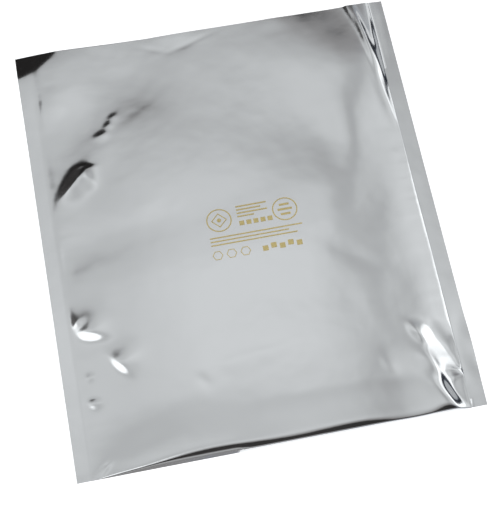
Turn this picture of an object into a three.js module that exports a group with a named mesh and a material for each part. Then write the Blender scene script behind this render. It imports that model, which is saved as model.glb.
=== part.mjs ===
// Moisture barrier bag, empty, lying flat with a little air left in it. One sheet of metallised film is folded
// across its near end, heat-sealed to itself down both sides, and left open at its far end, where its two lips
// lie together. The back film lies flat on the table, and the front film is a height over the table, worked out
// at any point from its distances to the two seams, the fold and the mouth.
//
// Units are millimetres: +X across the bag, +Y from the fold to the mouth, +Z up. The origin is on the table
// under the middle of the bag.

import * as THREE from 'three';
import { mergeVertices } from 'three/addons/utils/BufferGeometryUtils.js';

// The bag as it was cut and sealed
const bagWidth = 254;
const bagLength = 297;
const filmThickness = 0.15;
const sealWidth = 9.5;
const lean = 2.9; // how far the mouth end lies to the right of the fold end
const mouthSlant = 3; // how much longer the left edge is than the right
const lipSetback = 1.2; // the front lip ends this far short of the back one, drawn in by the air

// The air in it
const crownHeight = 7; // the front film over the back one, in the middle
const mouthHeight = 0.8; // the same at the mouth, where the lips lie together
const mouthReach = 170; // the front film comes down to the lips over this length
const mouthReachRight = 75; // and over this one on the right
const pocketDepth = 26; // the lips lie apart this far in, and the films are taken as one behind it

// How the front film leaves the seams
const leftReach = 84;
const rightReach = 42;
const cornerReach = 22; // at the near end of the right seam the film climbs faster
const leftSharpness = 0.35; // 0 leaves the seam level and 1 leaves it at a steep angle
const rightSharpness = 0.3;

// The near edge: two facets climb from the fold, a steep one and, over a shoulder, a gentler one
const lowerFacetLeft = 1.2; // slopes, as height over distance
const lowerFacetRight = 2.2;
const upperFacet = 0.58;
const facetShoulder = 1.3; // where the gentler facet would start at the fold itself
const faceTurn = 104; // from the left edge, where the steep facet steepens
const faceTurnLength = 16;
const shoulderRadius = 0.2;
const crestRadius = 0.5;

// Behind the facets the film has this share of its height, and the whole of it at the reach
const tailShareLeft = 0.72;
const tailShareRight = 0.38;
const tailReachLeft = 42;
const tailReachRight = 30;
const foldCrest = 78; // from the left edge, where the near edge stands highest
const crestLength = 70;

// Gathers along the seams
const gatherPitch = 12.5;
const gatherReach = 9;
const gatherHeightLeft = 0.1;
const gatherHeightRight = 0.35;

// The mesh
const columns = 44;
const foldRows = 8;
const foldZone = 14; // these first rows are packed towards the fold
const rowPitch = 3.4;

// Creases and dents of the front film, by hand. Each lies at a distance in from the nearer edge of the bag and
// up from the fold, or down from the mouth. It is turned from +X, fades over a half length and two half widths,
// the first on the side that faces the mouth before the turn, and stands proud or, where its height is below
// zero, lies below the film around it.
const left = (inwards) => inwards - bagWidth / 2;
const right = (inwards) => bagWidth / 2 - inwards;
const up = (distance) => distance - bagLength / 2;
const down = (distance) => bagLength / 2 - distance;
const creases = [
  { at: [left(25), up(199)], turn: 50, length: 18, widths: [8, 11], height: 2.8 }, // ridge by the left seam
  { at: [left(44), up(213)], turn: 40, length: 42, widths: [9, 13], height: -0.6 }, // the valley that it ends
  { at: [left(49), up(227.5)], turn: 18, length: 5, widths: [2.6, 5], height: 0.7 },
  { at: [left(55), up(235)], turn: 56, length: 5, widths: [2.4, 5], height: 0.8 },
  { at: [left(12), up(99)], turn: 24, length: 6, widths: [3, 2.2], height: 0.9 }, // puckers by the lower left seam
  { at: [left(23), up(91)], turn: -16, length: 7, widths: [5, 2.4], height: 1 },
  { at: [left(37), up(67)], turn: -50, length: 11, widths: [5, 2.4], height: 1 },
  { at: [left(17.5), up(64.5)], turn: 0, length: 2.6, widths: [2, 4], height: 0.8 },
  { at: [left(18.5), up(47.5)], turn: -14, length: 4.6, widths: [2.4, 5], height: 1.1 },
  { at: [left(15), up(4)], turn: 38, length: 7, widths: [2, 2], height: -0.8 }, // dart at the left foot
  { at: [right(23), up(48)], turn: -58, length: 14, widths: [6, 6], height: 1.3 }, // buckle at the lower right corner
  { at: [right(18.5), up(13)], turn: -62, length: 14, widths: [5.5, 5.5], height: -2.6 },
  { at: [right(11.5), up(35)], turn: 90, length: 11, widths: [3, 3], height: -1.2 },
  { at: [right(54), up(37)], turn: -75, length: 9, widths: [5, 5], height: -0.4 },
  { at: [right(36), up(128)], turn: 88, length: 62, widths: [11, 9], height: -0.5 }, // long valley by the right seam
  { at: [right(46), up(182)], turn: -46, length: 18, widths: [10, 9], height: -0.6 },
  { at: [right(100), up(200)], turn: -8, length: 42, widths: [14, 12], height: -0.4 },
  { at: [right(61), up(113)], turn: -42, length: 20, widths: [6, 6], height: -0.3 },
  { at: [left(117), up(57)], turn: 5, length: 28, widths: [4, 7], height: 0.2 },
  { at: [left(86), up(47)], turn: -60, length: 5, widths: [2.6, 2.6], height: -0.3 },
  { at: [right(20), down(28)], turn: 96, length: 24, widths: [9, 5.5], height: 2.8 }, // wrinkle at the upper right
  { at: [right(14.5), down(62)], turn: 98, length: 24, widths: [6, 3.4], height: 1.3 },
];

// Where the front lip lifts off the back one: how far in from the left edge, over what half width, and how high
const lipLifts = [
  { at: left(110), width: 22, height: 1.4 },
  { at: left(178), width: 10, height: 0.8 },
];
const lipLiftDepth = 14;

const seamX = bagWidth / 2 - sealWidth;
const foldY = -bagLength / 2;
const mouthY = bagLength / 2;
const sealThickness = 2 * filmThickness;

const smooth = (t) => THREE.MathUtils.smoothstep(t, 0, 1);
const mix = THREE.MathUtils.lerp;
const hump = (distance, reach) => Math.exp(-((distance / reach) ** 2));

// A rise from 0 at an edge to 1 at its reach. Sharp leaves the edge at an angle, soft leaves it level.
function rise(distance, reach, sharpness) {
  const t = THREE.MathUtils.clamp(distance / reach, 0, 1);
  return mix(smooth(t), 1 - (1 - t) ** 2.5, sharpness);
}

// The lesser of two heights, rounded where they cross, and 0 where the first is 0
function softlyUnder(a, b, radius) {
  return (a - Math.hypot(a - b, radius) + Math.hypot(b, radius)) / 2;
}

// The relief of all creases at a point
function creaseRelief(x, y) {
  let relief = 0;
  for (const { at, turn, length, widths, height } of creases) {
    const angle = THREE.MathUtils.degToRad(turn);
    const along = (x - at[0]) * Math.cos(angle) + (y - at[1]) * Math.sin(angle);
    const across = (y - at[1]) * Math.cos(angle) - (x - at[0]) * Math.sin(angle);
    relief += height * hump(along, length) * hump(across, widths[across > 0 ? 0 : 1]);
  }
  return relief;
}

// Small gathers that stand square to a seam and die away from it
function gathers(fromSeam, y, height) {
  const phase = (2 * Math.PI * y) / gatherPitch;
  const wave = 0.5 + 0.3 * Math.sin(phase) + 0.2 * Math.sin(1.618 * phase + 1);
  return height * wave * (fromSeam / gatherReach) * Math.exp(2 - (2 * fromSeam) / gatherReach);
}

// The near edge, which climbs from the fold
function foldFace(x, fromFold) {
  const turned = smooth((x - left(faceTurn)) / faceTurnLength + 0.5);
  const steepFacet = mix(lowerFacetLeft, lowerFacetRight, turned) * fromFold;
  return softlyUnder(steepFacet, facetShoulder + upperFacet * fromFold, shoulderRadius);
}

// Height of the front film's outer face over the table
function frontHeight(x, y) {
  const fromLeft = Math.max(x + seamX, 0);
  const fromRight = Math.max(seamX - x, 0);
  const fromFold = Math.max(y - foldY, 0);
  const fromMouth = Math.max(mouthY - y, 0);

  // The air lifts the film between the seams, least on the right behind the fold, and lets it down to the mouth
  const sides =
    rise(fromLeft, leftReach, leftSharpness) *
    rise(fromRight, mix(rightReach, cornerReach, hump(fromFold, 60)), rightSharpness);
  const onTheRight = smooth((x - right(115)) / 75);
  const fall = mix(smooth(fromMouth / mouthReach), rise(fromMouth, mouthReachRight, 1), onTheRight);
  const behindCrest = smooth((x - left(foldCrest)) / crestLength);
  const tailLeft = mix(tailShareLeft, 1, rise(fromFold, tailReachLeft, 0.3));
  const tailRight = mix(tailShareRight, 1, rise(fromFold, tailReachRight, 0.8));
  const mouthFall = mix(mouthHeight / crownHeight, 1, fall);
  const pillow = crownHeight * sides * mouthFall * mix(tailLeft, tailRight, behindCrest);

  let lip = 0;
  for (const { at, width, height } of lipLifts) lip += height * hump(x - at, width);
  lip *= 1 - smooth(fromMouth / lipLiftDepth);

  // Everything fades out at the seams, where the two films are one sheet
  const fade = (1 - hump(fromLeft, 4)) * (1 - hump(fromRight, 4));
  const relief = (creaseRelief(x, y) + lip) * fade;
  const puckers =
    (gathers(fromLeft, y, gatherHeightLeft) + gathers(fromRight, y, gatherHeightRight)) *
    (1 - hump(fromFold, 8)) * mix(0.35, 1, smooth(fromMouth / mouthReach));

  // The front film never sinks into the back one
  const lifted = pillow + relief + puckers;
  const clear = (lifted + Math.hypot(lifted, 0.4 * fade)) / 2;
  return sealThickness + softlyUnder(foldFace(x, fromFold), clear, crestRadius * fade);
}

// The front lip's edge, drawn in from the back lip's between the seams
function frontMouth(x) {
  const t = Math.min(Math.abs(x) / seamX, 1);
  return mouthY - lipSetback * (1 - t ** 4);
}

// The sheet lies a little out of square, and the origin is under the middle of its outline
function place(x, y, z) {
  const share = (y - foldY) / bagLength;
  return [x + lean * (share - 0.5), y - mouthSlant * (x / bagWidth) * share - mouthSlant / 4, z];
}

// Positions from start to end that crowd towards both ends by the share given
function spread(count, start, end, crowd) {
  return Array.from({ length: count + 1 }, (_, i) => {
    const t = i / count;
    return start + (end - start) * (t - (crowd * Math.sin(2 * Math.PI * t)) / (2 * Math.PI));
  });
}

function moistureBarrierBag() {
  const xs = [-bagWidth / 2, ...spread(columns, -seamX, seamX, 0.55), bagWidth / 2];
  const plainRows = Math.round((bagLength - foldZone) / rowPitch);
  const distances = [];
  for (let j = 0; j < foldRows; j++) distances.push(foldZone * (j / foldRows) ** 2);
  for (let j = 0; j <= plainRows; j++) distances.push(foldZone + ((bagLength - foldZone) * j) / plainRows);
  const lastColumn = xs.length - 1;
  const lastRow = distances.length - 1;
  const pocketRow = distances.findIndex((distance) => distance >= bagLength - pocketDepth);

  const frontY = (i, j) => foldY + (distances[j] / bagLength) * (frontMouth(xs[i]) - foldY);
  const backY = (j) => foldY + distances[j];
  const front = (i, j) => place(xs[i], frontY(i, j), frontHeight(xs[i], frontY(i, j)));
  const under = (i, j) => place(xs[i], backY(j), 0);

  // The pocket between the lips: its roof hangs a film's thickness under the front face at the mouth, and comes
  // down to its floor, a film's thickness over the table, where the pocket ends
  const pocketShare = (j) => (distances[j] - distances[pocketRow]) / (bagLength - distances[pocketRow]);
  const roof = (i, j) => {
    const y = frontY(i, j);
    const gap = frontHeight(xs[i], y) - sealThickness;
    return place(xs[i], y, filmThickness + gap * smooth(pocketShare(j)));
  };
  const floor = (i, j) => {
    const start = frontY(i, pocketRow);
    return place(xs[i], start + pocketShare(j) * (mouthY - start), filmThickness);
  };

  const corners = [];
  const face = (...loop) => {
    for (let k = 1; k < loop.length - 1; k++) corners.push(...loop[0], ...loop[k], ...loop[k + 1]);
  };

  for (let i = 0; i < lastColumn; i++) {
    for (let j = 0; j < lastRow; j++) face(front(i, j), front(i + 1, j), front(i + 1, j + 1), front(i, j + 1));
    face(under(i, 0), under(i + 1, 0), front(i + 1, 0), front(i, 0));
  }

  // The cut edges of the two seals
  for (let j = 0; j < lastRow; j++) {
    face(under(lastColumn, j), under(lastColumn, j + 1), front(lastColumn, j + 1), front(lastColumn, j));
    face(under(0, j + 1), under(0, j), front(0, j), front(0, j + 1));
  }
  const rightSeam = lastColumn - 1;
  face(
    under(lastColumn, lastRow), under(rightSeam, lastRow), floor(rightSeam, lastRow),
    front(rightSeam, lastRow), front(lastColumn, lastRow),
  );
  face(under(0, lastRow), front(0, lastRow), front(1, lastRow), floor(1, lastRow), under(1, lastRow));

  // The pocket, and the cut edges of the two lips
  for (let i = 1; i < rightSeam; i++) {
    for (let j = pocketRow; j < lastRow; j++) {
      face(roof(i, j), roof(i, j + 1), roof(i + 1, j + 1), roof(i + 1, j));
      face(floor(i, j), floor(i + 1, j), floor(i + 1, j + 1), floor(i, j + 1));
    }
    face(roof(i + 1, lastRow), roof(i, lastRow), front(i, lastRow), front(i + 1, lastRow));
    face(under(i + 1, lastRow), under(i, lastRow), floor(i, lastRow), floor(i + 1, lastRow));
  }

  // The flat back film: one large rectangle in the middle, and a fan from each of its corners to the edges
  const pad = [[-1, -1], [1, -1], [1, 1], [-1, 1]].map(
    ([sx, sy]) => place(sx * 0.3 * bagWidth, sy * 0.3 * bagLength, 0),
  );
  const along = (count) => Array.from({ length: count + 1 }, (_, k) => k);
  const edges = [
    along(lastColumn).map((i) => under(i, 0)),
    along(lastRow).map((j) => under(lastColumn, j)),
    along(lastColumn).map((i) => under(lastColumn - i, lastRow)),
    along(lastRow).map((j) => under(0, lastRow - j)),
  ];
  edges.forEach((edge, side) => {
    const [start, end] = [pad[side], pad[(side + 1) % 4]];
    const half = Math.floor(edge.length / 2);
    for (let k = 0; k < edge.length - 1; k++) face(edge[k + 1], edge[k], k < half ? start : end);
    face(end, edge[half], start);
  });
  face(pad[3], pad[2], pad[1], pad[0]);

  const soup = new THREE.BufferGeometry();
  soup.setAttribute('position', new THREE.Float32BufferAttribute(corners, 3));
  const geometry = mergeVertices(soup, 1e-3);
  geometry.computeVertexNormals();
  return geometry;
}

const metallisedFilm = new THREE.MeshStandardMaterial({ color: 0xc3c8cb, metalness: 0.95, roughness: 0.22 });

const bag = new THREE.Mesh(moistureBarrierBag(), metallisedFilm);
bag.name = 'barrier_bag';

const model = new THREE.Group();
model.add(bag);

export default model;
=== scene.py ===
# %% [markdown]
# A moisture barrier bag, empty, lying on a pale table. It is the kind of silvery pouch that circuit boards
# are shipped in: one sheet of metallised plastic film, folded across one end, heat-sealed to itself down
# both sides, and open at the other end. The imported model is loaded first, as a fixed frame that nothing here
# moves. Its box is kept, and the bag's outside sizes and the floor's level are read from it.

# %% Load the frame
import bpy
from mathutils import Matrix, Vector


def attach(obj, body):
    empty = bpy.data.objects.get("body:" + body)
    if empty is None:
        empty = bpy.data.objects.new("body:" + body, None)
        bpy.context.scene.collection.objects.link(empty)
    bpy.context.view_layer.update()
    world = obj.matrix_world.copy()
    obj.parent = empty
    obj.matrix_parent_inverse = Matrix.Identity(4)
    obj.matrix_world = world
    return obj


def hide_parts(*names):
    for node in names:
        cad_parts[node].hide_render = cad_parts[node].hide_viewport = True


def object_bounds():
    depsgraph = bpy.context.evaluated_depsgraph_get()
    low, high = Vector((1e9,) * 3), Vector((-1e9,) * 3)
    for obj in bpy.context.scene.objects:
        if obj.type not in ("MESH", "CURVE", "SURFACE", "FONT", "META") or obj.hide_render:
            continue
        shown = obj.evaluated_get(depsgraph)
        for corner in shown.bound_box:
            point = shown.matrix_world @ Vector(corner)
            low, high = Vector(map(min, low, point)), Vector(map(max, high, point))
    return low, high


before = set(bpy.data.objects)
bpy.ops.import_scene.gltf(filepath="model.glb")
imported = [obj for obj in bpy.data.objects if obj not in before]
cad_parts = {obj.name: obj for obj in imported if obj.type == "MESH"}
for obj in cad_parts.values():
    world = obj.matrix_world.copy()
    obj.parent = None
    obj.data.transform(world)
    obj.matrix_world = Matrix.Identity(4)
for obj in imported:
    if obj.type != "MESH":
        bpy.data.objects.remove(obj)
cad_box = [list(map(float, corner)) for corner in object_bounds()]

import math

import bmesh
import bpy
import numpy as np
from mathutils import Matrix, Vector

print("frame box in metres:", [[round(v, 4) for v in corner] for corner in cad_box])

# %% [markdown]
# Every size below is in millimetres, because that is how such a bag is made and sold. Meshes are written in
# metres, so one factor turns the one into the other. The outside sizes are read from the frame's own box, so
# that they can't drift from it, and the rest are the bag's own making: its film, its seals, and the air in
# it.

# %% The bag's sizes
MM = 0.001
LEAN = 2.9  # the mouth end lies this far to the right of the fold end
MOUTH_SLANT = 3.0  # the left edge is this much longer than the right
BOX_WIDTH, BOX_LENGTH = [(cad_box[1][k] - cad_box[0][k]) / MM for k in (0, 1)]
BAG_WIDTH = BOX_WIDTH - LEAN
BAG_LENGTH = BOX_LENGTH - MOUTH_SLANT / 2
FILM = 0.15
SEAL_WIDTH = 9.5
SEAL_THICKNESS = 2 * FILM
SEAM_X = BAG_WIDTH / 2 - SEAL_WIDTH
FOLD_Y = -BAG_LENGTH / 2
MOUTH_Y = BAG_LENGTH / 2
LIP_SETBACK = 1.2
print(f"bag {BAG_WIDTH:.1f} x {BAG_LENGTH:.1f} mm, seals {SEAL_WIDTH} mm wide")


def from_left(distance):
    """The x of a line this far in from the bag's left edge."""
    return distance - BAG_WIDTH / 2


def from_right(distance):
    """The x of a line this far in from the bag's right edge."""
    return BAG_WIDTH / 2 - distance


def up(distance):
    """The y of a line this far up from the fold."""
    return distance - BAG_LENGTH / 2


def down(distance):
    """The y of a line this far down from the mouth."""
    return BAG_LENGTH / 2 - distance


# %% [markdown]
# The back film lies flat on the table. The front film is a height over it, so its whole shape is one
# function of two parameters, x and y, and a mirror-like film shows every slope of that function. A cloth
# simulation would give some crumpled bag, but not this one, because the light and dark marks in the
# photograph are where this bag's own creases lie. So the height is built up from a few plain curves: a rise
# from each seam, two facets that turn over the fold, a long fall to the mouth, and then lists of swells and
# creases.

# %% Curves that the height is made of
def smooth(t):
    """Three t squared less two t cubed: a step from 0 to 1 that is level at both ends."""
    t = np.clip(t, 0, 1)
    return t * t * (3 - 2 * t)


def mix(a, b, share):
    """a where share is 0, b where it is 1, and a straight blend between them."""
    return a + (b - a) * share


def hump(distance, reach):
    """A bell curve: e to the power of minus (distance over reach) squared."""
    return np.exp(-((distance / reach) ** 2))


def rise(distance, reach, sharpness):
    """From 0 at an edge to 1 at its reach. Sharp is one less (1 - t) to the 2.5, and soft is a smooth step."""
    t = np.clip(distance / reach, 0, 1)
    return mix(smooth(t), 1 - (1 - t) ** 2.5, sharpness)


# %% [markdown]
# The air left in the bag lifts the front film by about seven millimetres. It lies mostly behind the fold,
# and thins out towards the mouth, where the lips nearly touch. The fold is not a round roll: the film has
# been pressed once, so it climbs in two flat facets, which is why the near edge shows a pale strip under a
# dark band.

# %% The air in the bag
CROWN_HEIGHT = 7.0
MOUTH_HEIGHT = 0.8
MOUTH_REACH, MOUTH_REACH_RIGHT = 136, 93
LEFT_REACH, LEFT_SHARPNESS = 91, 0.85
RIGHT_REACH, RIGHT_SHARPNESS = 60, 0.78
CORNER_REACH = 22
TAIL_SHARE_LEFT, TAIL_REACH_LEFT = 0.72, 42
TAIL_SHARE_RIGHT, TAIL_REACH_RIGHT = 0.36, 30
FOLD_CREST = 78
LOWER_FACET_LEFT, LOWER_FACET_RIGHT = 1.2, 2.2
UPPER_FACET, FACET_SHOULDER = 0.58, 1.35
FACE_TURN = 104
SHOULDER_RADIUS, CREST_RADIUS = 0.2, 0.5


def softly_under(a, b, radius):
    """The lesser of two heights, rounded where they cross, and 0 where a is 0."""
    rounded = a - np.hypot(a - b, radius) + np.hypot(b, radius)
    return rounded / 2


def pillow(x, near_left, near_right, near_fold, near_mouth):
    """The side rises, times the fall to the mouth, times a dip behind the fold."""
    right_reach = mix(RIGHT_REACH, CORNER_REACH, hump(near_fold, 60))
    sides = rise(near_left, LEFT_REACH, LEFT_SHARPNESS) * rise(near_right, right_reach, RIGHT_SHARPNESS)
    long_fall = smooth(near_mouth / MOUTH_REACH)
    short_fall = rise(near_mouth, MOUTH_REACH_RIGHT, 0.7)
    fall = mix(long_fall, short_fall, smooth((x - from_right(115)) / 75))
    left_tail = mix(TAIL_SHARE_LEFT, 1, rise(near_fold, TAIL_REACH_LEFT, 0.3))
    right_tail = mix(TAIL_SHARE_RIGHT, 1, rise(near_fold, TAIL_REACH_RIGHT, 0.7))
    tail = mix(left_tail, right_tail, smooth((x - from_left(FOLD_CREST)) / 70))
    return CROWN_HEIGHT * sides * mix(MOUTH_HEIGHT / CROWN_HEIGHT, 1, fall) * tail


def fold_face(x, near_fold):
    """Two facets climb from the fold: a steep one, slope times distance, and a gentler one over a shoulder."""
    steepness = mix(LOWER_FACET_LEFT, LOWER_FACET_RIGHT, smooth((x - from_left(FACE_TURN) + 8) / 16))
    return softly_under(steepness * near_fold, FACET_SHOULDER + UPPER_FACET * near_fold, SHOULDER_RADIUS)


# %% [markdown]
# The swells are broad and shallow, and make the slow changes of tone over the whole bag. The creases are
# short and steep, and make its bright and black marks. All the swells and 19 of the 33 creases were found by
# a least-squares fit of the film's tones to those of the photograph, then rounded, and some were
# corrected. The same fit gave the pillow's reaches and sharpness at the sides and the mouth, and the
# middle levels of the ceiling's two ramps. The other creases were chosen one by one. Each has a place,
# measured in from the nearer side edge and up from the fold or down from the mouth, a turn in degrees from the
# X axis, a half length, and a height, which is below zero for a dent. A swell has one half width. A crease has
# two, on its left and on its right as one looks along it, because a ridge in film is often steep on one side
# only.
# The lips of the mouth have a list of their own, for the places where the front lip stands off the back one.

# %% Creases, lifted lips and gathers
SWELLS = [
    (from_right(122), down(110), 27, 76, 39, -1.24),
    (from_right(59), down(101), -92, 25, 13, -1.08),
    (from_right(44), up(148), -110, 80, 16, -0.70),
    (from_right(36), up(71), -93, 67, 16, -0.81),
    (from_right(48), up(23), 91, 80, 24, -1.60),
    (from_right(27), down(44), -67, 26, 20, 1.54),
    (from_left(26), down(144), 17, 37, 16, -0.7),
    (from_left(83), down(140), 13, 79, 14, -0.55),
    (from_left(18), down(41), 33, 18, 12, 0.60),
    (from_right(71), down(78), 71, 40, 23, -1.60),
    (from_left(111), up(90), 7, 80, 34, -0.95),
    (from_left(39), up(9), 16, 28, 12, -0.79),
    (from_left(69), down(32), 58, 24, 40, -0.97),
    (from_right(111), down(12), 15, 80, 38, 1.59),
    (from_right(12), up(93), -99, 72, 11, 0.12),
    (from_left(117), up(11), -21, 80, 40, -1.35),
]
CREASES = [
    (from_left(27), up(196.3), 47, 11, 4.8, 8.9, 1.9),
    (from_left(33.6), up(199.8), 35, 4.2, 5.2, 10, 0.7),
    (from_left(34.8), up(205.3), -1, 5.9, 1.6, 6, 0.7),
    (from_left(46.4), down(77.6), 36, 32, 14, 13.7, 0.4),
    (from_left(49), up(227.5), 18, 4.5, 1.8, 3.5, 0.3),
    (from_left(54.5), up(234), 40, 3.2, 1.5, 3, 0.25),
    (from_left(58), up(239.5), 30, 3.2, 1.5, 3, 0.22),
    (from_left(69), down(57.4), 34, 16, 12, 5, -0.1),
    (from_left(13), up(101), 28, 6, 12, 3, 0.65),
    (from_left(22.5), up(93), -16, 9, 13, 4, 1.4),
    (from_left(38), up(69), -52, 9, 12, 3.6, 1.2),
    (from_left(17.3), up(64.1), -15, 2.7, 2.1, 2.5, 0.32),
    (from_left(17.5), up(47.1), -15, 4.3, 2.5, 3.5, 0.5),
    (from_left(15), up(4), 38, 7, 2, 2, -0.8),
    (from_right(31.5), up(53), -60, 8, 8, 3.4, 1.5),
    (from_right(19), up(43.6), -61, 16.4, 7.5, 9.8, -1.9),
    (from_right(24.2), up(17.1), -76, 21, 3.3, 7, 1.2),
    (from_right(17), up(14.9), -44, 17.9, 6.4, 6.8, -2.8),
    (from_right(11.9), up(24.5), -10, 5.9, 2.3, 3.2, 1.05),
    (from_right(23), up(41.9), -89, 8.4, 5.9, 8.3, 0.5),
    (from_right(8.2), up(9.5), -60, 26, 5.5, 3.7, -1.0),
    (from_left(168), up(1), 0, 72, 9, 9, 1.2),
    (from_right(54), up(37), -75, 9, 5, 5, -0.4),
    (from_right(61), up(113), -42, 20, 6, 6, -0.3),
    (from_left(117), up(57), 5, 28, 4, 7, 0.15),
    (from_left(86), up(47), -60, 5, 2.6, 2.6, -0.2),
    (from_right(18.4), down(25.2), 96, 28, 2.1, 2.3, 0.95),
    (from_right(11), down(30.2), 118, 11.6, 3.4, 12.1, 0.4),
    (from_right(13.9), down(43.5), 99, 13.8, 2.4, 2.6, 0.6),
    (from_right(24.9), down(1.3), 103, 15.9, 1.6, 2.6, 0.9),
    (from_right(13.9), down(73.8), 98, 21.6, 4.4, 2.4, 0.5),
    (from_left(93), down(11), -25, 9, 1.6, 1.6, -0.12),
    (from_left(119), down(10), 18, 16, 1.6, 1.6, -0.12),
]
CREASES += [(x, y, turn, length, width, width, height) for x, y, turn, length, width, height in SWELLS]
LIP_LIFTS = [(from_left(110), 20, 0.5), (from_left(178), 9, 0.3)]
LIP_LIFT_DEPTH = 14
GATHER_PITCH = 11.0
GATHER_REACH = 9.0
PUCKER_PITCH = 3.4
PUCKER_REACH = 2.2
SEAM_STEP = 0.1
SEAM_STEP_REACH = 0.12
LEFT_FADE, RIGHT_FADE = 3.5, 1.6  # creases die away this close to the seams
LEFT_PUCKER, RIGHT_PUCKER, FINE_PUCKER = 0.03, 0.06, 0.05
FLAP_LIFT, FLAP_PLACE, FLAP_REACH = 3.2, 20, 42
FLAP_SLOPE, FLAP_TURN = 0.19, (0.54, 0.84)
RIGHT_LIFT, FOOT_LIFT = 1.3, 2.4


def crease_relief(x, y):
    """The sum of the creases: each is its height times a bell along it times a bell across it."""
    relief = np.zeros_like(x)
    for at_x, at_y, turn, length, far_width, near_width, height in CREASES:
        angle = math.radians(turn)
        along = (x - at_x) * math.cos(angle) + (y - at_y) * math.sin(angle)
        across = (y - at_y) * math.cos(angle) - (x - at_x) * math.sin(angle)
        width = np.where(across > 0, far_width, near_width)
        relief += height * hump(along, length) * hump(across, width)
    return relief


def gathers(near_seam, y, pitch, reach, height):
    """Puckers square to a seam: an uneven wave along it that swells just inside the seam and dies away."""
    phase = 2 * math.pi * y / pitch + 2.2 * np.sin(y / 23) + 1.4 * np.sin(y / 9.7)
    wave = 0.5 + 0.3 * np.sin(phase) + 0.2 * np.sin(1.618 * phase + 1)
    wave = wave * (0.6 + 0.4 * np.sin(y / 17 + 1))
    swell = (near_seam / reach) * np.exp(2 - 2 * near_seam / reach)
    return height * wave * swell


def edge_lift(x, y):
    """How far both films stand off the table near the side seals, pulled up by the air and the creases."""
    near_left, near_right = x + BAG_WIDTH / 2, BAG_WIDTH / 2 - x
    near_mouth, near_fold = MOUTH_Y - y, y - FOLD_Y
    hill = FLAP_LIFT * hump(np.hypot(near_left - FLAP_PLACE, near_mouth - 14), FLAP_REACH)
    flap = FLAP_SLOPE * (FLAP_TURN[0] * near_left + FLAP_TURN[1] * np.maximum(near_mouth, 0))
    left = softly_under(flap, hill, 0.2)
    right = hump(near_right - 16, 11) * hump(near_mouth - 18, 42) * smooth((near_right + 6) / 14)
    foot = FOOT_LIFT * hump(near_fold - 38, 20) * np.clip(1 - near_right / SEAL_WIDTH, 0, 1) ** 1.5
    return left + RIGHT_LIFT * right + foot


def front_height(x, y):
    """Height of the front film over the back one: the pillow, the creases, the lips and the gathers."""
    near_left = np.maximum(x + SEAM_X, 0)
    near_right = np.maximum(SEAM_X - x, 0)
    near_fold = np.maximum(y - FOLD_Y, 0)
    near_mouth = np.maximum(MOUTH_Y - y, 0)
    lip = sum(height * hump(x - at, width) for at, width, height in LIP_LIFTS)
    lip = lip * (1 - smooth(near_mouth / LIP_LIFT_DEPTH))
    fade = (1 - hump(near_left, LEFT_FADE)) * (1 - hump(near_right, RIGHT_FADE))
    relief = (crease_relief(x, y) + lip) * fade
    puckers = gathers(near_left, y, GATHER_PITCH, GATHER_REACH, LEFT_PUCKER)
    puckers += gathers(near_right, y, GATHER_PITCH, GATHER_REACH, RIGHT_PUCKER)
    puckers += gathers(near_right, y, PUCKER_PITCH, PUCKER_REACH, FINE_PUCKER)
    puckers *= (1 - hump(near_fold, 8)) * mix(0.35, 1, smooth(near_mouth / MOUTH_REACH))
    step = SEAM_STEP * (1 - np.exp(-near_right / SEAM_STEP_REACH)) * smooth(near_fold / 6)
    lifted = pillow(x, near_left, near_right, near_fold, near_mouth) + relief + puckers + step
    lifted = (lifted + np.hypot(lifted, 0.2 * fade)) / 2
    return SEAL_THICKNESS + softly_under(fold_face(x, near_fold), lifted, CREST_RADIUS * fade)


def place(x, y, z):
    """Points of the film in metres, once the sheet is drawn a little out of square, as this one lies."""
    share = (y - FOLD_Y) / BAG_LENGTH
    across = x + LEAN * (share - 0.5)
    along = y - MOUTH_SLANT * (x / BAG_WIDTH) * share - MOUTH_SLANT / 4
    return np.stack([across, along, z + edge_lift(x, y)], axis=-1) * MM


# %% [markdown]
# The camera comes before the pieces, so that they can be judged in its view from the start. It looks down on
# the bag from the near side. Its place was worked out from the four corners of the bag in the photograph,
# which are the picture of a rectangle of known sides.

# %% Camera
PHOTO_WIDTH = 499
FOCAL_PIXELS = 1455.4
SENSOR_WIDTH = 36.0
CAMERA_TURN, CAMERA_TILT, CAMERA_ROLL = [math.radians(v) for v in (11.65, 67.02, 0.38)]
CAMERA_DISTANCE = 928.7
CAMERA_TARGET = Vector((2.58 - LEAN / 2, -26.87 - MOUTH_SLANT / 4, 0))

forward = Vector((
    math.sin(CAMERA_TURN) * math.cos(CAMERA_TILT),
    math.cos(CAMERA_TURN) * math.cos(CAMERA_TILT),
    -math.sin(CAMERA_TILT),
))
level_right = Vector((math.cos(CAMERA_TURN), -math.sin(CAMERA_TURN), 0))
level_up = level_right.cross(forward)
cam_right = level_right * math.cos(CAMERA_ROLL) + level_up * math.sin(CAMERA_ROLL)
cam_up = level_up * math.cos(CAMERA_ROLL) - level_right * math.sin(CAMERA_ROLL)

camera_data = bpy.data.cameras.new("camera")
camera_data.sensor_fit = "HORIZONTAL"
camera_data.sensor_width = SENSOR_WIDTH
camera_data.lens = FOCAL_PIXELS / PHOTO_WIDTH * SENSOR_WIDTH
camera_data.clip_start = 0.05
camera = bpy.data.objects.new("camera", camera_data)
bpy.context.scene.collection.objects.link(camera)
turn = Matrix((cam_right, cam_up, -forward)).transposed().to_4x4()
camera.matrix_world = Matrix.Translation((CAMERA_TARGET - forward * CAMERA_DISTANCE) * MM) @ turn
bpy.context.scene.camera = camera
print(f"lens {camera_data.lens:.1f} mm, {CAMERA_DISTANCE:.0f} mm from the bag")

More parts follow.
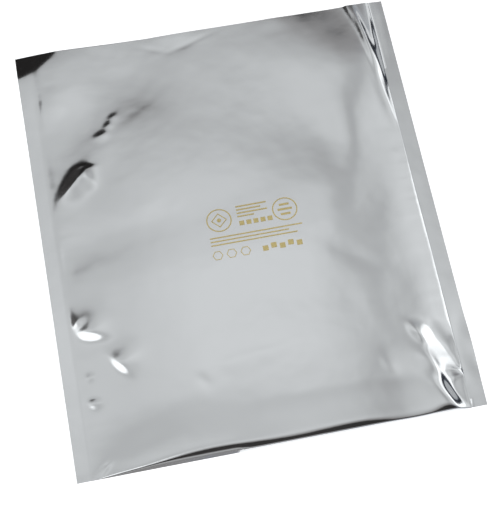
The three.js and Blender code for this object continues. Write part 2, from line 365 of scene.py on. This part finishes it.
# %% [markdown]
# The film is modelled as a real thin wall, closed along its fold and its seals and open at its mouth. The
# front's outer face is a grid over the whole bag, and its inner face hangs one film's thickness below it,
# from seam to seam. The back's two faces are almost flat, so they need far fewer rows, and the walls between
# the two kinds of grid are polygons with several corners on one side. Rows crowd towards the fold, where the
# film turns upright, and columns crowd towards the seams, where the gathers are.

# %% Grid lines
BODY_COLUMNS = 160
SEAL_COLUMNS = 5
FOLD_ROWS = 18
FOLD_ZONE = 14
ROW_PITCH = 1.42
BACK_STRIDE = 6  # the back film has one row for so many of the front's


def spread(count, start, end, crowd):
    """Even steps with a sine taken off, so that they crowd towards both ends."""
    t = np.linspace(0, 1, count + 1)
    return start + (end - start) * (t - crowd * np.sin(2 * math.pi * t) / (2 * math.pi))


seal_steps = np.linspace(0, SEAL_WIDTH, SEAL_COLUMNS + 1)[:-1]
body = spread(BODY_COLUMNS - 3, -SEAM_X, SEAM_X, 0.5)
close_to_seam = SEAM_X - np.array([0.42, 0.24, 0.1])
columns = np.concatenate([
    -BAG_WIDTH / 2 + seal_steps,
    body[:-1],
    close_to_seam,
    body[-1:],
    (BAG_WIDTH / 2 - seal_steps)[::-1],
])
plain_rows = round((BAG_LENGTH - FOLD_ZONE) / ROW_PITCH)
rows = np.concatenate([
    FOLD_ZONE * (np.arange(FOLD_ROWS) / FOLD_ROWS) ** 2,
    np.linspace(FOLD_ZONE, BAG_LENGTH, plain_rows + 1),
])
print(f"{len(columns)} columns by {len(rows)} rows")


# %% Film mesh
def front_mouth(x):
    """The front lip's edge: drawn in by the setback times one less the fourth power of x over the seam's x."""
    t = np.minimum(np.abs(x) / SEAM_X, 1)
    return MOUTH_Y - LIP_SETBACK * (1 - t**4)


def quads(a, b, c, d):
    """Faces from four arrays of corner numbers, taken in step."""
    return np.stack([a, b, c, d], axis=-1).reshape(-1, 4).tolist()


def grid_quads(n):
    """Faces of a grid of vertex numbers, seen from above."""
    return quads(n[:-1, :-1], n[1:, :-1], n[1:, 1:], n[:-1, 1:])


def film_mesh():
    """The bag as one closed thin wall: vertex numbers are kept as grids, and faces join their neighbours."""
    x, distance = np.meshgrid(columns, rows, indexing="ij")
    y = FOLD_Y + distance / BAG_LENGTH * (front_mouth(x) - FOLD_Y)
    z = front_height(x, y)
    first, last = SEAL_COLUMNS, SEAL_COLUMNS + BODY_COLUMNS
    seam = slice(first, last + 1)
    in_x, in_y, in_z = (grid[seam, 1:] for grid in (x, y, z))
    open_share = smooth((in_y - FOLD_Y) / 0.5)
    coarse = np.append(np.arange(0, len(rows) - 1, BACK_STRIDE), len(rows) - 1)
    back_x, back_y = np.meshgrid(columns, FOLD_Y + rows[coarse], indexing="ij")
    floor_x, floor_y = back_x[first + 1:last, 1:], back_y[first + 1:last, 1:]

    points, count = [], 0
    numbers = []
    for grid in (
        place(x, y, z),
        place(in_x, in_y, FILM + (in_z - SEAL_THICKNESS) * open_share),
        place(back_x, back_y, 0),
        place(floor_x, floor_y, FILM),
    ):
        numbers.append(count + np.arange(grid[..., 0].size).reshape(grid.shape[:-1]))
        points.append(grid.reshape(-1, 3))
        count += grid[..., 0].size
    front, roof, under, floor = numbers

    outer = grid_quads(front)
    outer += quads(under[:-1, 0], under[1:, 0], front[1:, 0], front[:-1, 0])
    outer += quads(under[1:, :-1], under[:-1, :-1], under[:-1, 1:], under[1:, 1:])
    inner = quads(roof[:-1, :-1], roof[:-1, 1:], roof[1:, 1:], roof[1:, :-1])
    inner += grid_quads(floor)
    inner.append([*roof[:, 0], *roof[-1, 1:coarse[1]], *floor[::-1, 0], *roof[0, coarse[1] - 1:0:-1]])
    for k, (low, high) in enumerate(zip(coarse[:-1], coarse[1:])):
        outer.append([under[-1, k], under[-1, k + 1], *front[-1, low:high + 1][::-1]])
        outer.append([under[0, k + 1], under[0, k], *front[0, low:high + 1]])
        if k > 0:
            inner.append([*roof[0, low - 1:high][::-1], floor[0, k - 1], floor[0, k]])
            inner.append([*roof[-1, low - 1:high], floor[-1, k], floor[-1, k - 1]])
    lip = [roof[0, -1], *floor[:, -1], roof[-1, -1]]
    outer += quads(roof[1:, -1], roof[:-1, -1], front[first:last, -1], front[first + 1:last + 1, -1])
    outer += quads(under[first + 1:last + 1, -1], under[first:last, -1], lip[:-1], lip[1:])
    outer.append([*under[last:, -1][::-1], roof[-1, -1], *front[last:, -1]])
    outer.append([*under[:first + 1, -1][::-1], *front[:first + 1, -1], roof[0, -1]])

    mesh = bpy.data.meshes.new("film")
    mesh.from_pydata(np.concatenate(points).tolist(), [], [[int(v) for v in loop] for loop in outer + inner])
    mesh.polygons.foreach_set("material_index", [0] * len(outer) + [1] * len(inner))
    mesh.polygons.foreach_set("use_smooth", [True] * len(mesh.polygons))
    mesh.set_sharp_from_angle(angle=math.radians(38))
    mesh.update()
    return mesh


film = bpy.data.objects.new("film", film_mesh())
bpy.context.scene.collection.objects.link(film)
print("film faces:", len(film.data.polygons))

# %% [markdown]
# The film is metallised plastic, so it is made as a metal: nearly white, with a low roughness, because what
# is seen in it is the room. Two noise textures bend the reflection a little, a slow one for the waves in the
# sheet and a fine one for its crinkles. The sealing side is a duller plastic over the same metal.

# %% Node helpers
def new_material(name):
    """A material and its Principled shader."""
    material = bpy.data.materials.new(name)
    material.use_nodes = True
    return material, material.node_tree.nodes["Principled BSDF"]


def noise(tree, coordinates, scale, detail):
    """A noise texture on the given coordinates."""
    node = tree.nodes.new("ShaderNodeTexNoise")
    node.inputs["Scale"].default_value = scale
    node.inputs["Detail"].default_value = detail
    tree.links.new(coordinates, node.inputs["Vector"])
    return node


def bump(tree, height, distance, normal=None):
    """A bump whose height is the texture times a distance in metres."""
    node = tree.nodes.new("ShaderNodeBump")
    node.inputs["Distance"].default_value = distance
    tree.links.new(height, node.inputs["Height"])
    if normal is not None:
        tree.links.new(normal, node.inputs["Normal"])
    return node.outputs["Normal"]


# %% Metallised film
WAVE_SCALE, WAVE_DEPTH = 28, 0.0004
CRINKLE_SCALE, CRINKLE_DEPTH = 150, 0.00003
FILM_ROUGHNESS = 0.13


def metallised_film():
    """A bright metal with a low roughness, with soft undulations and fine crinkles."""
    material, shader = new_material("metallised_film")
    tree = material.node_tree
    shader.inputs["Base Color"].default_value = (0.80, 0.815, 0.825, 1)
    shader.inputs["Metallic"].default_value = 1.0
    shader.inputs["Roughness"].default_value = FILM_ROUGHNESS
    spot = tree.nodes.new("ShaderNodeTexCoord").outputs["Object"]
    waves = noise(tree, spot, WAVE_SCALE, 2)
    crinkle = noise(tree, spot, CRINKLE_SCALE, 3)
    normal = bump(tree, waves.outputs["Fac"], WAVE_DEPTH)
    normal = bump(tree, crinkle.outputs["Fac"], CRINKLE_DEPTH, normal=normal)
    tree.links.new(normal, shader.inputs["Normal"])
    return material


def inner_film():
    """The sealing side of the film: the same metal seen through a duller plastic."""
    material, shader = new_material("inner_film")
    shader.inputs["Base Color"].default_value = (0.60, 0.61, 0.62, 1)
    shader.inputs["Metallic"].default_value = 0.8
    shader.inputs["Roughness"].default_value = 0.4
    return material


film.data.materials.append(metallised_film())
film.data.materials.append(inner_film())
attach(film, "root")
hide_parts("barrier_bag")
print("film materials:", [material.name for material in film.data.materials])

# %% [markdown]
# A printed mark sits a little above and left of the middle of the bag, in pale gold ink. The one on the real
# bag holds words and signs, which are left out here. In their place is a plain device of rings, bars and
# squares, of about the same size and colour. Ink is a layer with a thickness, so each mark is a thin closed
# strip, and the strips follow the height of the film, so that they bend with it. An image texture could not
# do this without a file, and a flat plate would cut through the swells.

# %% Ink marks
PRINT_X, PRINT_Y = from_left(136), up(144)
INK_GAP, INK_THICKNESS = 0.03, 0.03
INK_STEP = 1.5
INK_LINE = 0.55


def bar(x, y, width, height):
    """Two level edges of a bar, from its lower left corner, with points close enough to follow the film."""
    steps = max(2, round(width / INK_STEP) + 1)
    edge = np.stack([np.linspace(x, x + width, steps), np.full(steps, y)], axis=-1)
    return edge + [0, height], edge, False


def loop(x, y, radius, line, corners=48, turn=0.0):
    """Two closed outlines with the same number of corners, one a line's width inside the other."""
    angle = turn + np.linspace(0, 2 * math.pi, corners, endpoint=False)
    unit = np.stack([np.cos(angle), np.sin(angle)], axis=-1)
    return unit * (radius - line) + [x, y], unit * radius + [x, y], True


MARKS = [loop(x, 7, 8.2, 0.8) for x in (-22, 21)]
MARKS += [loop(-22, 7, 5.2, 0.9, 4), loop(-22, 7, 1.4, 1.39, 24)]
MARKS += [bar(21 - width / 2, y, width, 1.5) for width, y in ((6.5, 9.6), (9.5, 6.2), (6.5, 2.8))]
MARKS += [bar(-10, y, width, 1.0) for width, y in ((20, 14), (16, 11.6), (20, 9.2), (11, 6.8))]
MARKS += [bar(-9.5 + 4.6 * k, 0.8, 3.2, 3.2) for k in range(5)]
MARKS += [bar(-30, y, width, 0.9) for width, y in ((60, -5.5), (51, -8.0), (56, -10.5))]
MARKS += [loop(-27 + 9 * k, -17.2, 3.4, INK_LINE, 6) for k in range(3)]
MARKS += [bar(2 + 5.5 * k, -19.6 + 1.2 * (k % 2), 3.6, 3.6) for k in range(5)]


def ink_mesh():
    """Each mark is a strip between two outlines: a top, a base a little lower, and sides between the two."""
    points, faces = [], []
    for inner, outer, closed in MARKS:
        first, count = len(points), len(inner)
        for outline, lift in ((inner, 1), (outer, 1), (outer, 0), (inner, 0)):
            x, y = outline[:, 0] + PRINT_X, outline[:, 1] + PRINT_Y
            points += place(x, y, front_height(x, y) + INK_GAP + INK_THICKNESS * lift).tolist()
        for k in range(count if closed else count - 1):
            after = (k + 1) % count
            for side in range(4):
                low, high = first + side * count, first + (side + 1) % 4 * count
                faces.append([low + k, high + k, high + after, low + after])
        if not closed:
            faces.append([first + side * count for side in (3, 2, 1, 0)])
            faces.append([first + side * count + count - 1 for side in range(4)])
    mesh = bpy.data.meshes.new("printed_marks")
    mesh.from_pydata(points, [], faces)
    work = bmesh.new()
    work.from_mesh(mesh)
    bmesh.ops.recalc_face_normals(work, faces=work.faces)
    work.to_mesh(mesh)
    work.free()
    return mesh


def print_ink():
    """A satin gold ink, thin enough to take a little of the metal's shine."""
    material, shader = new_material("print_ink")
    shader.inputs["Base Color"].default_value = (0.93, 0.76, 0.34, 1)
    shader.inputs["Metallic"].default_value = 0.5
    shader.inputs["Roughness"].default_value = 0.4
    return material


marks = bpy.data.objects.new("printed_marks", ink_mesh())
bpy.context.scene.collection.objects.link(marks)
marks.data.materials.append(print_ink())
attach(marks, "root")
print("ink marks:", len(MARKS), "strips,", len(marks.data.polygons), "faces")

# %% [markdown]
# The photograph's ground is pure white, and yet the bag has to stand on something. The floor is a plane just
# under it that glows only where the camera, or a reflection, sees it, so that its glow lights nothing.

# %% Floor
FLOOR_GLOW = 0.75


def add_floor():
    """A large plane just under the bag, white to the camera and in reflections, that still takes a shadow."""
    half = 3.0
    mesh = bpy.data.meshes.new("floor")
    level = cad_box[0][2] - 0.0001
    mesh.from_pydata([(-half, -half, level), (half, -half, level), (half, half, level), (-half, half, level)],
                     [], [(0, 1, 2, 3)])
    floor = bpy.data.objects.new("floor", mesh)
    bpy.context.scene.collection.objects.link(floor)
    material, shader = new_material("floor")
    tree = material.node_tree
    shader.inputs["Base Color"].default_value = (0.92, 0.92, 0.92, 1)
    shader.inputs["Roughness"].default_value = 0.9
    path = tree.nodes.new("ShaderNodeLightPath")
    seen = path.outputs["Is Camera Ray"]
    for name in ("Is Glossy Ray", "Is Transmission Ray"):
        either = tree.nodes.new("ShaderNodeMath")
        either.operation = "MAXIMUM"
        tree.links.new(seen, either.inputs[0])
        tree.links.new(path.outputs[name], either.inputs[1])
        seen = either.outputs[0]
    glow = tree.nodes.new("ShaderNodeMath")
    glow.operation = "MULTIPLY"
    glow.inputs[1].default_value = FLOOR_GLOW
    tree.links.new(seen, glow.inputs[0])
    tree.links.new(glow.outputs[0], shader.inputs["Emission Strength"])
    shader.inputs["Emission Color"].default_value = (1, 1, 1, 1)
    mesh.materials.append(material)
    return floor


add_floor()
print("floor glow:", FLOOR_GLOW)

# %% [markdown]
# All the light comes from the world, because the film shows the world as a mirror does. It is drawn as a
# studio ceiling. Any direction that points up meets a ceiling one unit above, at X over Z across the bag and
# at Y over Z along it. The level there is one ramp across times another along, with a bright panel on either
# side, a dark edge towards the viewer and a slanting dark flag at the far side. Flat film sees the ceiling's
# middle, and each slope of the film looks further out. Low directions meet the studio's walls, which keep
# the bag silver from every other side. The camera itself sees plain white.

# %% World
ACROSS_STOPS = [
    (-2.2, 0.04), (-1.5, 0.06), (-1.3, 2.20), (-0.75, 2.20), (-0.5, 0.99), (-0.2, 0.95), (0.086, 1.11),
    (0.19, 1.01), (0.27, 0.81), (0.37, 0.74), (0.47, 1.05), (0.58, 1.20), (0.8, 1.15), (0.9, 2.30),
    (1.35, 2.30), (1.5, 0.06),
]
ALONG_STOPS = [
    (-2.1, 0.7), (-1.5, 0.5), (-1.12, 0.05), (-0.62, 0.05), (-0.44, 0.50), (-0.12, 1.00), (0.16, 0.87),
    (0.38, 1.15), (0.45, 1.00), (0.54, 1.02), (0.66, 0.82), (0.8, 0.61), (1.2, 0.50),
]
RAMP_SPAN, RAMP_TOP = 2.4, 2.5
SOFTBOX_ACROSS, SOFTBOX_NEAR, SOFTBOX_LEVEL = (-1.4, -0.1), -0.5, 2.2
SOFTBOX_LEAN, SOFTBOX_EDGE = 0.7, -0.12
HORIZON_HEIGHT, HORIZON_LEVEL, WALL_LEVEL = 0.3, 0.42, 0.75
FLAG_LEAN, FLAG_EDGE = 0.5, 0.79
CEILING_LEVEL = 0.62


def add_world():
    """A studio ceiling: soft light above, bright panels at both sides, and a dark room past its edges."""
    world = bpy.data.worlds.new("studio")
    bpy.context.scene.world = world
    world.use_nodes = True
    tree = world.node_tree
    back = tree.nodes["Background"]
    direction = tree.nodes.new("ShaderNodeTexCoord").outputs["Generated"]
    parts = tree.nodes.new("ShaderNodeSeparateXYZ")
    tree.links.new(direction, parts.inputs[0])

    def math_node(operation, *values):
        """One Math node on numbers or links."""
        node = tree.nodes.new("ShaderNodeMath")
        node.operation = operation
        for socket, value in zip(node.inputs, values):
            if isinstance(value, (int, float)):
                socket.default_value = value
            else:
                tree.links.new(value, socket)
        return node.outputs[0]

    def profile(value, stops):
        """A ramp over values from minus the span to the span, with levels up to the top."""
        place_on_ramp = math_node("MULTIPLY_ADD", value, 0.5 / RAMP_SPAN, 0.5)
        node = tree.nodes.new("ShaderNodeValToRGB")
        node.color_ramp.interpolation = "EASE"
        elements = node.color_ramp.elements
        while len(elements) < len(stops):
            elements.new(0.5)
        for element, (at, level) in zip(elements, stops):
            share = level / RAMP_TOP
            element.position = 0.5 + at * 0.5 / RAMP_SPAN
            element.color = (share, share, share, 1)
        tree.links.new(place_on_ramp, node.inputs["Fac"])
        return math_node("MULTIPLY", node.outputs["Color"], RAMP_TOP)

    height = math_node("MAXIMUM", parts.outputs["Z"], 0.05)
    across = math_node("DIVIDE", parts.outputs["X"], height)
    along = math_node("DIVIDE", parts.outputs["Y"], height)
    level = math_node("MULTIPLY", profile(across, ACROSS_STOPS), profile(along, ALONG_STOPS))

    def edge(value, at, softness, before=0.0, after=1.0):
        """A smooth step from one level to another where the value passes a place."""
        node = tree.nodes.new("ShaderNodeMapRange")
        node.interpolation_type = "SMOOTHSTEP"
        node.inputs["From Min"].default_value = at - softness
        node.inputs["From Max"].default_value = at + softness
        node.inputs["To Min"].default_value = before
        node.inputs["To Max"].default_value = after
        tree.links.new(value, node.inputs["Value"])
        return node.outputs["Result"]

    def blend(share, a, b):
        """a where the share is 0, and b where it is 1."""
        node = tree.nodes.new("ShaderNodeMix")
        for value, socket in zip((share, a, b), (node.inputs["Factor"], node.inputs["A"], node.inputs["B"])):
            if isinstance(value, (int, float)):
                socket.default_value = value
            else:
                tree.links.new(value, socket)
        return node.outputs["Result"]

    leaning = math_node("MULTIPLY_ADD", across, SOFTBOX_LEAN, along)
    inside = edge(across, SOFTBOX_ACROSS[0], 0.05)
    for value, at, before, after in (
        (across, SOFTBOX_ACROSS[1], 1.0, 0.0),
        (along, SOFTBOX_NEAR, 0.0, 1.0),
        (leaning, SOFTBOX_EDGE, 1.0, 0.0),
    ):
        inside = math_node("MULTIPLY", inside, edge(value, at, 0.05, before, after))
    level = blend(inside, level, SOFTBOX_LEVEL)
    past_flag = math_node("SUBTRACT", along, math_node("MULTIPLY", across, FLAG_LEAN))
    level = math_node("MULTIPLY", level, edge(past_flag, FLAG_EDGE, 0.02, 1.0, 0.05))
    wall = blend(edge(along, -1.0, 0.2), HORIZON_LEVEL, WALL_LEVEL)
    level = blend(edge(parts.outputs["Z"], HORIZON_HEIGHT, 0.03, 1.0, 0.0), level, wall)
    level = math_node("MULTIPLY", level, CEILING_LEVEL)
    tint = tree.nodes.new("ShaderNodeMix")
    tint.data_type = "RGBA"
    dark = tree.nodes.new("ShaderNodeMix")
    dark.data_type = "RGBA"
    dark.inputs["A"].default_value = (1.06, 0.98, 0.96, 1)
    dark.inputs["B"].default_value = (0.80, 0.96, 1.30, 1)
    tree.links.new(edge(across, 0.5, 0.3), dark.inputs["Factor"])
    tree.links.new(dark.outputs["Result"], tint.inputs["A"])
    tint.inputs["B"].default_value = (0.985, 1.0, 1.01, 1)
    tree.links.new(math_node("MULTIPLY", level, 2.0), tint.inputs["Factor"])
    scaled = tree.nodes.new("ShaderNodeVectorMath")
    scaled.operation = "SCALE"
    tree.links.new(tint.outputs["Result"], scaled.inputs[0])
    tree.links.new(level, scaled.inputs["Scale"])
    path = tree.nodes.new("ShaderNodeLightPath")
    seen = tree.nodes.new("ShaderNodeMix")
    seen.data_type = "RGBA"
    seen.inputs["B"].default_value = (1, 1, 1, 1)
    tree.links.new(path.outputs["Is Camera Ray"], seen.inputs["Factor"])
    tree.links.new(scaled.outputs["Vector"], seen.inputs["A"])
    tree.links.new(seen.outputs["Result"], back.inputs["Color"])


add_world()
bpy.context.scene.view_settings.view_transform = "Standard"
print("world:", bpy.context.scene.world.name)
